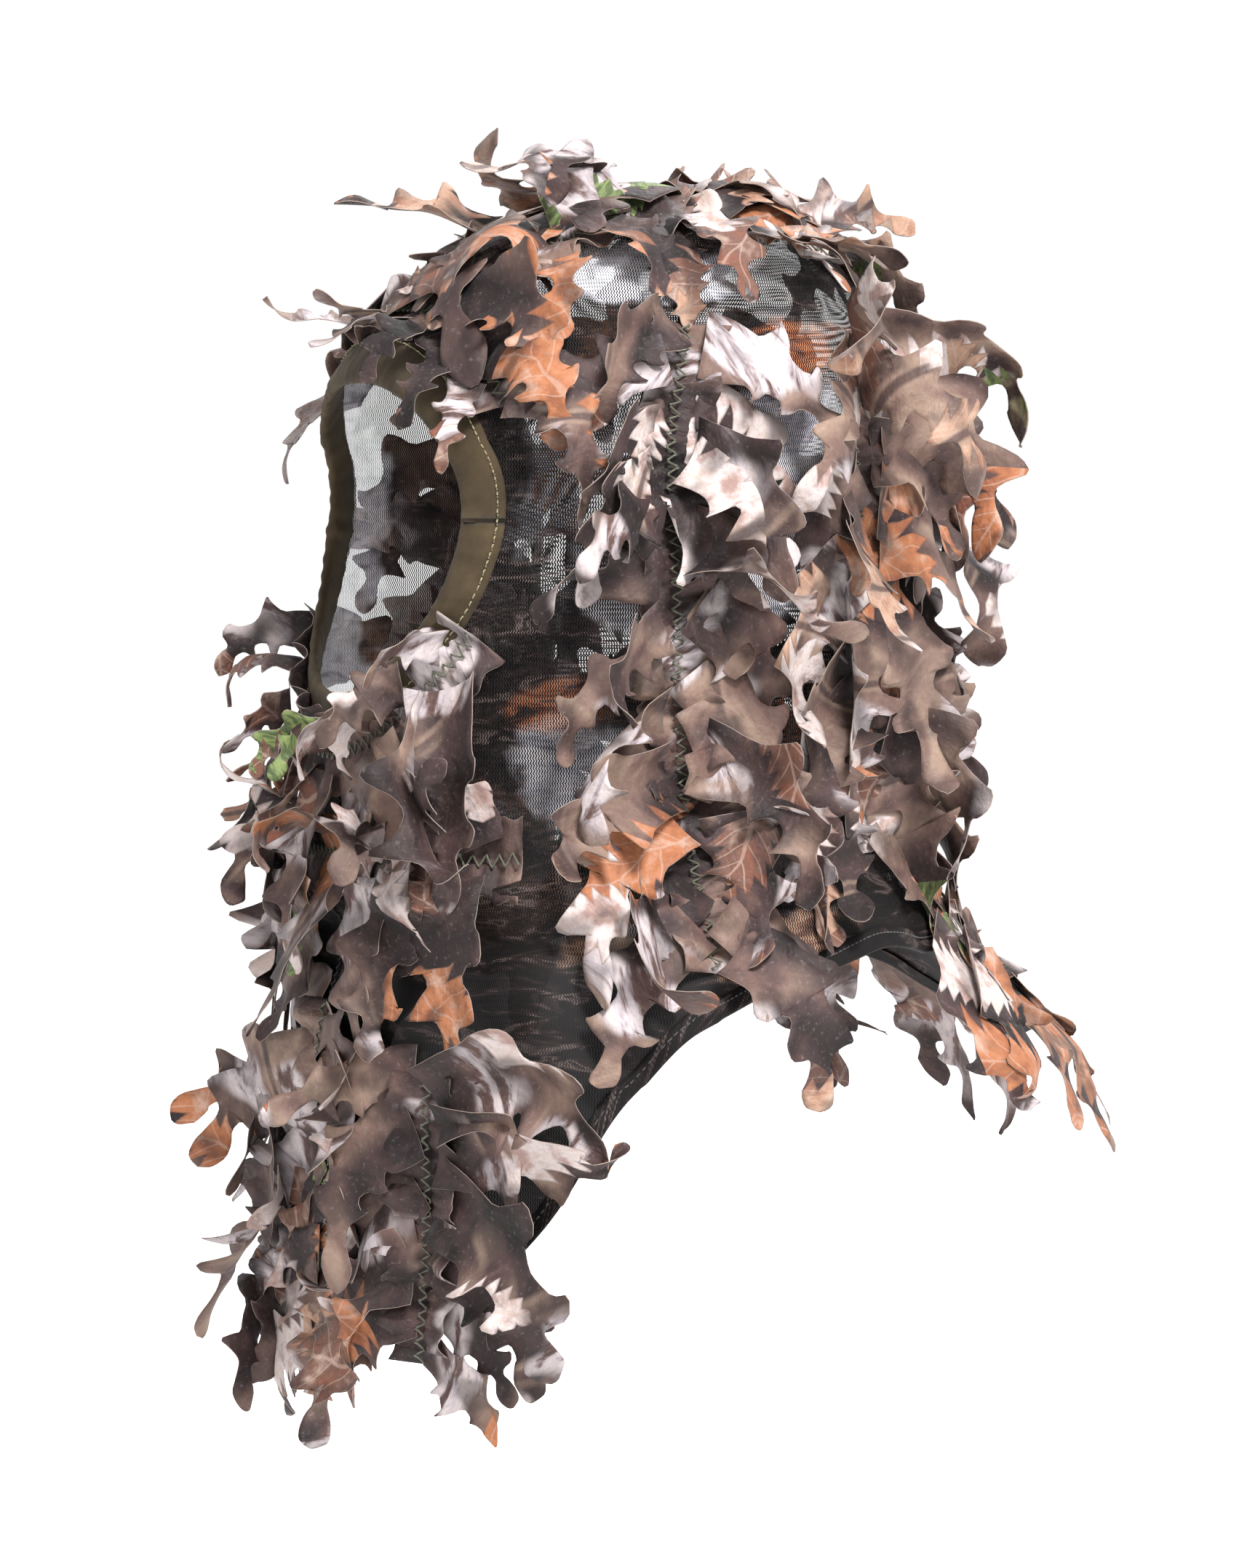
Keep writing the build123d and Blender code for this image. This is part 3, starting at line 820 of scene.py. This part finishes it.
def build_seams():
    """The centre seam of each part of the hood: a stood-up ridge of mesh under zigzag thread."""
    front = [(0.0, v) for v in np.arange(1.0, RUN, SEAM_STEP)]
    back = [(math.pi, v) for v in np.arange(1.0, RUN, SEAM_STEP)]
    route = np.array(front[::-1] + back)
    bare = bare_point(route[:, 0], route[:, 1])
    kept = (opening_reach(bare) > 1.2) & (bare[:, 2] > hem_height(bare[:, 1]) + HEM_FOLD)
    zone = cloth_zone(bare)
    centre = cloth_point(route[:, 0], route[:, 1])
    normal = bare_normal(route[:, 0], route[:, 1])
    profile = np.array([(-1.5, 0.1), (-1.3, 0.7), (-0.5, 1.2), (0.5, 1.2), (1.3, 0.7), (1.5, 0.1)])
    for bends, name in enumerate(("crown_seam", "bib_seam", "nape_seam")):
        seam = Gathered()
        for group in unbroken(kept & (zone == bends)):
            side = np.array([1.0, 0, 0])
            points = centre[group, None] + side * profile[:, :1] + normal[group, None] * profile[:, 1:]
            flat = pairs(group[:, None] * SEAM_STEP, profile[:, 0])
            seam.add(points, grid_faces(len(group), len(profile)), flat)
            sway = zigzag(len(group), 1.5)
            seam.add(*tube(centre[group] + side * sway + normal[group] * 1.25, 0.24, 4), kind=1)
        obj = seam.build(name + "_ridge", HEM_CLOTH, SEAM_THREAD)
        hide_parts(name)
        bend(obj, bends)


# ---- leaf tapes
# Each outline is (along, half width) down one side of a leaf, as shares of its length.
OUTLINES = [
    # side points, a narrow waist, and a rounded paddle at the tip
    [(0, .19), (.10, .19), (.20, .165), (.28, .18), (.34, .25), (.33, .32), (.40, .24), (.44, .15),
     (.50, .125), (.55, .19), (.55, .26), (.61, .18), (.65, .085), (.70, .06), (.76, .07), (.82, .105),
     (.88, .125), (.94, .105), (.985, .055), (1, .01)],
    # holly points
    [(0, .19), (.10, .19), (.20, .20), (.28, .24), (.27, .31), (.34, .23), (.40, .22), (.46, .27),
     (.45, .34), (.53, .21), (.58, .18), (.63, .22), (.63, .28), (.69, .16), (.75, .12), (.80, .13),
     (.81, .18), (.86, .09), (.93, .05), (1, .01)],
    # rounded fingers
    [(0, .18), (.10, .175), (.20, .18), (.28, .23), (.35, .30), (.41, .33), (.44, .27), (.42, .17),
     (.48, .12), (.55, .18), (.62, .25), (.67, .24), (.67, .15), (.68, .075), (.74, .055), (.81, .085),
     (.88, .115), (.94, .10), (.985, .05), (1, .01)],
    # maple
    [(0, .16), (.10, .15), (.18, .16), (.25, .22), (.24, .32), (.31, .27), (.37, .28), (.44, .34),
     (.45, .43), (.52, .28), (.57, .17), (.63, .13), (.69, .16), (.74, .22), (.76, .14), (.80, .10),
     (.86, .085), (.92, .06), (.97, .035), (1, .01)],
    # a long leaf with three fingers
    [(0, .18), (.10, .17), (.20, .155), (.29, .165), (.36, .23), (.39, .30), (.44, .24), (.45, .14),
     (.51, .10), (.58, .11), (.63, .17), (.65, .23), (.70, .16), (.71, .075), (.76, .05), (.82, .07),
     (.88, .095), (.94, .085), (.985, .04), (1, .01)],
]
SHARES = (0.20, 0.03, 0.38, 0.01, 0.38)     # how often each outline is cut
ACROSS = np.array([-1, -0.72, -0.36, 0, 0.36, 0.72, 1])
TRIES = 7


def cut_outline(rng, kind):
    """One die-cut leaf: rows of flat (along, across) places for a leaf one unit long."""
    sides = []
    for side in (-1, 1):
        edge = np.array(OUTLINES[kind])
        edge[3:, 1] *= (1 + 0.08 * rng.standard_normal(len(edge) - 3)) * rng.uniform(0.66, 0.90)
        edge[2:-2, 0] += 0.012 * rng.standard_normal(len(edge) - 4)
        rounded = np.stack([0.77 * edge[:-1] + 0.23 * edge[1:], 0.23 * edge[:-1] + 0.77 * edge[1:]], axis=1)
        rounded = rounded.reshape(-1, 2)
        rounded[0], rounded[-1] = edge[0], edge[-1]
        sides.append(rounded * (1, side))
    middle = np.maximum.accumulate((sides[0][:, 0] + sides[1][:, 0]) / 2)
    middle = np.convolve(np.pad(middle, 2, mode="edge"), np.ones(5) / 5, mode="valid")
    middle[0], middle[-1] = 0, 1
    share = np.abs(ACROSS)[None, :, None]
    spine = np.stack([middle, np.zeros_like(middle)], axis=-1)[:, None]
    edges = np.where((ACROSS < 0)[None, :, None], sides[0][:, None], sides[1][:, None])
    return spine * (1 - share) + edges * share


def tape_route(route):
    """A tape's middle as (angle, v) about every millimetre, from the CAD's own routes."""
    kind, *values = route
    share = np.linspace(0, 1, 300)
    if kind == "straight":
        (theta0, z0), (theta1, z1) = values
        theta, z = np.radians(theta0 + (theta1 - theta0) * share), z0 + (z1 - z0) * share
        v = way_down(z)
    elif kind == "opening":
        margin, start, end = values
        theta, v = face_spot(*opening_point(start + (end - start) * share, margin))
    else:
        x, front, back = values
        y = front + (back - front) * share
        low, high = np.zeros_like(share), np.ones_like(share)
        for _ in range(40):
            level = (low + high) / 2
            z = level * (FABRIC + DOME_DEPTH) - DOME_DEPTH
            inside = outside(np.stack([np.full_like(y, x), y, z], axis=-1)) < 1
            low, high = np.where(inside, level, low), np.where(inside, high, level)
        theta = np.arctan2(x, CROWN_SHIFT * low - y)
        v = np.arccos(np.clip(low, 0, 1)) / (math.pi / 2) * DOME_RUN
    return theta, v, travelled(bare_point(theta, v))


class TapeFrame:
    """Places along a tape: its middle, outward direction, and sideways direction at each distance."""

    def __init__(self, route):
        theta, v, run = tape_route(route)
        middle = cloth_point(theta, v)
        smooth = np.hanning(25) / np.hanning(25).sum()
        padded = np.pad(middle, ((12, 12), (0, 0)), mode="reflect", reflect_type="odd")
        middle = np.stack([np.convolve(padded[:, k], smooth, mode="valid") for k in range(3)], axis=-1)
        normal = bare_normal(theta, v)
        along = unit(np.gradient(middle, axis=0))
        side = unit(np.cross(normal, along))
        self.run, self.length, self.tables = run, run[-1], (middle, normal, side, along)

    def at(self, distance):
        return [between(distance, self.run, table) for table in self.tables]


def cloth_clearance(points, clearance):
    """Moves points off the worn cloth, folds included."""
    z = points[..., 2]
    theta = np.arctan2(points[..., 0], CROWN_SHIFT * dome_level(z) - points[..., 1])
    return keep_off(points, clearance + np.maximum(folds(theta, np.minimum(way_down(z), RUN)), 0))


def shape_leaves(rng, roots, length, layer, stand, drop):
    """Hangs a cut leaf from each root: (points, flat places), by leaf, row and column.

    stand tilts the leaves outward and drop pulls them down.

    roots are middles, outward and sideways directions, and directions along the tape, each (leaves, 3).
    """
    middle, normal, side, along = roots
    count = len(middle)
    kinds = rng.choice(len(OUTLINES), count, p=SHARES)
    flat = np.stack([cut_outline(rng, k) for k in kinds]) * length[:, None, None, None]
    lift, lean = rng.uniform(0.15, 1.0, (count, 1)) * stand, rng.normal(0, 0.32, (count, 1))
    ahead = unit(np.cos(lift) * (np.cos(lean) * side + np.sin(lean) * along) + np.sin(lift) * normal
                 - rng.uniform(0.0, 0.8, (count, 1)) * np.array([0, 0, drop]))
    across = unit(np.cross(normal, ahead))
    curl, tip_curl = rng.normal(0.005, 0.012, (count, 1)), rng.normal(-0.004, 0.022, (count, 1))
    twist = rng.normal(0, 0.012, (count, 1))
    fall = 0.015 + 0.065 * rng.uniform(0, 1, (count, 1))
    spine = flat[:, :, 3, 0]
    rows = spine.shape[1]
    place = middle + side * LEAF_ROOT + normal * (TAPE_STAND + rng.uniform(0, 1.5, (count, 1)))
    points = np.empty((*flat.shape[:3], 3))
    cup, wave = rng.normal(0.010, 0.016, count), rng.uniform(0.3, 1.6, count)
    phase = rng.uniform(0, 6.3, (2, count))
    reach = np.abs(ACROSS)
    for row in range(rows):
        step = (spine[:, row] - spine[:, max(row - 1, 0)])[:, None]
        up = unit(np.cross(ahead, across))
        bend_here = curl + tip_curl * (2.2 if row > 0.55 * rows else 0.0)
        drop_here = drop * fall * (0.15 + 0.85 * ease(row / rows, 0.08, 0.35))
        ahead = unit(ahead - (bend_here * up + drop_here * np.array([0, 0, 1.0])) * step)
        across = across + twist * step * up
        across = unit(across - ahead * np.sum(ahead * across, axis=1, keepdims=True))
        up = np.cross(ahead, across)
        place = place + ahead * step
        x, y = flat[:, row, :, 0], flat[:, row, :, 1]
        swell = wave[:, None] * reach * np.where(ACROSS < 0, np.sin(x * 0.21 + phase[0][:, None]),
                                                 np.sin(x * 0.19 + phase[1][:, None]))
        height = cup[:, None] * y * y + swell * np.clip(x / 20, 0, 1)
        points[:, row] = (place[:, None] + ahead[:, None] * (x - spine[:, row, None])[..., None]
                          + across[:, None] * y[..., None] + up[:, None] * height[..., None])
    points += 0.5 * noise(points, 13, 41)[..., None] * normal[:, None, None]
    return cloth_clearance(points, layer[:, None, None]), flat


def faults(points):
    """How badly each leaf covers the face opening or leaves the space the part may take."""
    reach = opening_reach(points)
    covered = np.mean(reach < 1.0, axis=(1, 2)) + 0.5 * np.mean(reach < 1.22, axis=(1, 2))
    low, high = (np.array(corner) / MM for corner in CAD_BOX)
    room = 0.03 * (high - low) + (8.5, 8.5, 2.0)
    over = np.maximum(low - room - points, points - high - room).max(axis=(1, 2, 3))
    return np.maximum(covered - 0.05, 0) * 12 + np.maximum(over, 0)


def build_tape(name, route, inner, outer, seed):
    """One tape: a gathered band, the leaves cut along both its edges, and the stitches along its middle."""
    rng = np.random.default_rng(seed)
    frame = TapeFrame(route)
    close = name.startswith(("bib", "nape"))
    stand = 0.35 if close else 1.0
    pitch = LEAF_PITCH * (0.65 if name.startswith("nape") else 1.0)
    tape = Gathered()
    # the gathered band
    steps = max(int(frame.length / 1.3), 12)
    run = np.linspace(0, frame.length, steps)
    middle, normal, side, along = frame.at(run)
    ragged = 1 + 0.22 * noise(np.stack([run, 0 * run, 0 * run + seed], axis=-1), 5, 51)
    width = np.linspace(-1, 1, 15)
    share = np.abs(width)
    drift = 2.2 * noise(np.stack([run, 0 * run + 9, 0 * run + seed], axis=-1), 16, 52)
    pleats = np.where(width < 0, np.sin(run[:, None] * 0.30 + drift[:, None]),
                      np.sin(run[:, None] * 0.27 + 2.1 - drift[:, None]))
    gathers = np.sin(run[:, None] * 1.15 + 2 * drift[:, None] + 2 * width)
    rise = (TAPE_STAND - 1.2 + 4.5 * share ** 0.7 + pleats * (0.3 + 3.4 * share)
            + 0.8 * gathers * (1 - 0.75 * share))
    off = width * BAND_HALF * ragged[:, None]
    points = middle[:, None] + side[:, None] * off[..., None] + normal[:, None] * rise[..., None]
    points = cloth_clearance(points, 0.5)
    turn = rng.uniform(0, math.tau)
    spin = np.array([[math.cos(turn), -math.sin(turn)], [math.sin(turn), math.cos(turn)]])
    printed = rng.uniform(0, 3000, 2)
    flat = pairs(run[:, None] * GATHER, off)
    tape.add(points, grid_faces(*points.shape[:2]), flat @ spin + printed)
    # the leaves
    for sign, (shortest, longest, growth, drop) in ((1, inner), (-1, outer)):
        count = max(round(frame.length / pitch), 2)
        spots = (np.arange(count) + 0.5 + 0.25 * sign) * frame.length / (count + 0.5)
        spots = np.clip(spots + rng.normal(0, 2.0, count), 1, frame.length - 1)
        many = np.repeat(spots, TRIES)
        middle, normal, side, along = frame.at(many)
        end_lean = (many / frame.length - 0.5)[:, None] * (0.9 if frame.length > 90 else 1.6)
        outward = unit(side * sign + along * end_lean)
        length = rng.uniform(shortest, longest, len(many)) + growth * ease(many / frame.length, 0.45, 0.8)
        layer = np.repeat(rng.uniform(1.5, 4.5 if close else 11.0, count), TRIES)
        points, flat = shape_leaves(rng, (middle, normal, outward, along), length, layer, stand, drop)
        bad = faults(points).reshape(count, TRIES)
        for leaf, best in enumerate(np.argmin(bad, axis=1)):
            if bad[leaf, best] > WORST_KEPT:
                continue
            k = leaf * TRIES + best
            cut = pairs(spots[leaf] * GATHER + flat[k, ..., 1], sign * (LEAF_ROOT + flat[k, ..., 0]))
            tape.add(points[k], grid_faces(*flat.shape[1:3]), cut @ spin + printed)
    cloth = tape.build("leaves_" + name, LEAF_CLOTH, CUT_EDGE)
    thick = cloth.modifiers.new("cloth thickness", "SOLIDIFY")
    thick.thickness, thick.offset, thick.material_offset_rim = LEAF_THICK * MM, 0, 1
    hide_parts("leaf_tape_" + name)
    # leaves that hang past a fold lie on the flap, so these tapes are not tied to the hood
    to_bib, to_nape = name.startswith(("bib", "throat", "chin")), name.startswith(("nape", "rear", "back"))
    bends = 1 if to_bib else 2 if to_nape else 0
    bend(cloth, bends)
    area = tape.flat_area()
    long = frame.length * GATHER * MM
    wide = (BAND_HALF * 2 + inner[1] + inner[2] + outer[1] + outer[2]) * MM
    long = max(long, area / wide * 1.02)
    # the stitches
    count = int(frame.length / 2.4)
    run = np.linspace(1, frame.length - 1, count)
    middle, normal, side, along = frame.at(run)
    sway = zigzag(count, STITCH_SWAY) * (1 + 0.15 * rng.standard_normal((count, 1)))
    corners = middle + side * sway + normal * (TAPE_STAND + 1.1)
    fine = np.linspace(0, count - 1, count * 4)
    path = cloth_clearance(between(fine, np.arange(count), corners), TAPE_STAND + 0.8)
    knot = np.exp(-((fine - np.round(fine)) / 0.16) ** 2)
    thread = Gathered()
    thread.add(*tube(path, 0.36 + 0.34 * knot, 6))
    cord = thread.build("stitches_" + name, TAPE_THREAD)
    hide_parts("tape_thread_" + name)
    bend(cord, bends)


def build_tapes():
    """Every tape of the hood, the middle ones and then each side's."""
    # each row of leaves: the shortest and longest, how much they grow along the tape, and how they drop;
    # (inner, outer)[::sign] keeps the same row forward on both sides of the hood
    small, normal, bib = (50, 66, 0, 1.0), (64, 90, 0, 1.1), (58, 78, 0, 1.0)
    short, long = (48, 66, 26, 1.0), (76, 96, -40, 0.75)
    tapes = [
        ("brow", ("opening", BINDING_WIDTH + 9, 0.08, 0.42), (34, 48, 0, 1.0), normal),
        ("chin", ("opening", BINDING_WIDTH + 5, 0.58, 0.92), (34, 46, 0, 1.0), normal),
        ("throat", ("straight", (-52, -236), (52, -236)), (44, 60, 0, 1.0), normal),
        ("crown_centre", ("crown", 0, -46, 100), small, small),
        ("back_centre", ("straight", (180, -78), (180, -222)), normal, normal),
        ("bib_centre", ("straight", (0, -290), (0, -436)), bib, bib)]
    for side, sign in (("_left", 1), ("_right", -1)):
        tapes += [
            ("crown" + side, ("crown", 38 * sign, -34, 74), small, small),
            ("side" + side, ("straight", (82 * sign, -44), (88 * sign, -276)), *(normal, short)[::sign]),
            ("rear" + side, ("straight", (133 * sign, -46), (136 * sign, -236)), normal, normal),
            ("bib" + side, ("straight", (38 * sign, -312), (36 * sign, -416)), *(long, bib)[::sign]),
            ("nape" + side, ("straight", (150 * sign, -266), (172 * sign, -284)), normal, normal)]
    for seed, tape in enumerate(tapes):
        build_tape(*tape, seed + SEED)


build_binding()
build_hems()
build_seams()
build_tapes()
build_cloth()

# ---- stage, lights, camera
RIGHT_OF_AXIS = 11.0        # the view's middle from the hood's axis
VIEW_MIDDLE_Z = -213.0
VIEW_HEIGHT = 583.0
AZIMUTH, ELEVATION = math.radians(66.7), math.radians(3.0)
DISTANCE = 2600.0
FLOOR_Z = -560.0


def build_stage():
    """A wide pale floor under a white sky."""
    sh = Shader("studio")
    where = sh.node("TexCoord").outputs["Object"]
    colour = sh.mix(sh.noise(where, 3.0), (0.95, 0.95, 0.95), (0.98, 0.98, 0.98))
    material = sh.finish(Base_Color=colour, Roughness=0.9, Emission_Color=(1, 1, 1, 1),
                         Emission_Strength=0.06)
    radii, sides = (0, 2500, 9000, 30000), 64
    angle = np.arange(sides) * math.tau / sides
    points = [(r * math.cos(a), r * math.sin(a), FLOOR_Z) for r in radii for a in angle]
    floor = new_mesh("studio_floor", points, grid_faces(len(radii), sides, closed=True), None, material)


def add_lamp(name, place, target, power, size):
    light = bpy.data.lights.new(name, "AREA")
    light.energy, light.size = power, size
    lamp = bpy.data.objects.new(name, light)
    lamp.location = Vector(place) * MM
    lamp.rotation_euler = (Vector(target) - Vector(place)).to_track_quat("-Z", "Y").to_euler()
    bpy.context.scene.collection.objects.link(lamp)


def build_lights_and_camera():
    right = Vector((math.cos(AZIMUTH), math.sin(AZIMUTH), 0))
    toward = Vector((math.sin(AZIMUTH), -math.cos(AZIMUTH), 0))
    middle = Vector((0, 20, -200))
    add_lamp("key", middle + toward * 1500 + right * 700 + Vector((0, 0, 1700)), middle, power=128, size=0.6)
    add_lamp("fill", middle + toward * 1700 - right * 1300 + Vector((0, 0, 300)), middle, power=6, size=1.6)
    add_lamp("rim", middle - toward * 1300 + right * 600 + Vector((0, 0, 1600)), middle, power=36, size=1.0)
    world = bpy.data.worlds.new("studio_air")
    world.use_nodes = True
    world.node_tree.nodes["Background"].inputs["Color"].default_value = (1, 1, 1, 1)
    world.node_tree.nodes["Background"].inputs["Strength"].default_value = 1.0
    bpy.context.scene.world = world
    bpy.context.scene.view_settings.view_transform = "Standard"
    target = right * RIGHT_OF_AXIS + Vector((0, 0, VIEW_MIDDLE_Z))
    away = toward * math.cos(ELEVATION) + Vector((0, 0, math.sin(ELEVATION)))
    data = bpy.data.cameras.new("camera")
    data.sensor_fit = "VERTICAL"
    data.lens = data.sensor_height * DISTANCE / VIEW_HEIGHT
    data.clip_end = 50
    camera = bpy.data.objects.new("camera", data)
    camera.location = (target + away * DISTANCE) * MM
    camera.rotation_euler = (-away).to_track_quat("-Z", "Y").to_euler()
    bpy.context.scene.collection.objects.link(camera)
    bpy.context.scene.camera = camera


build_stage()
build_lights_and_camera()
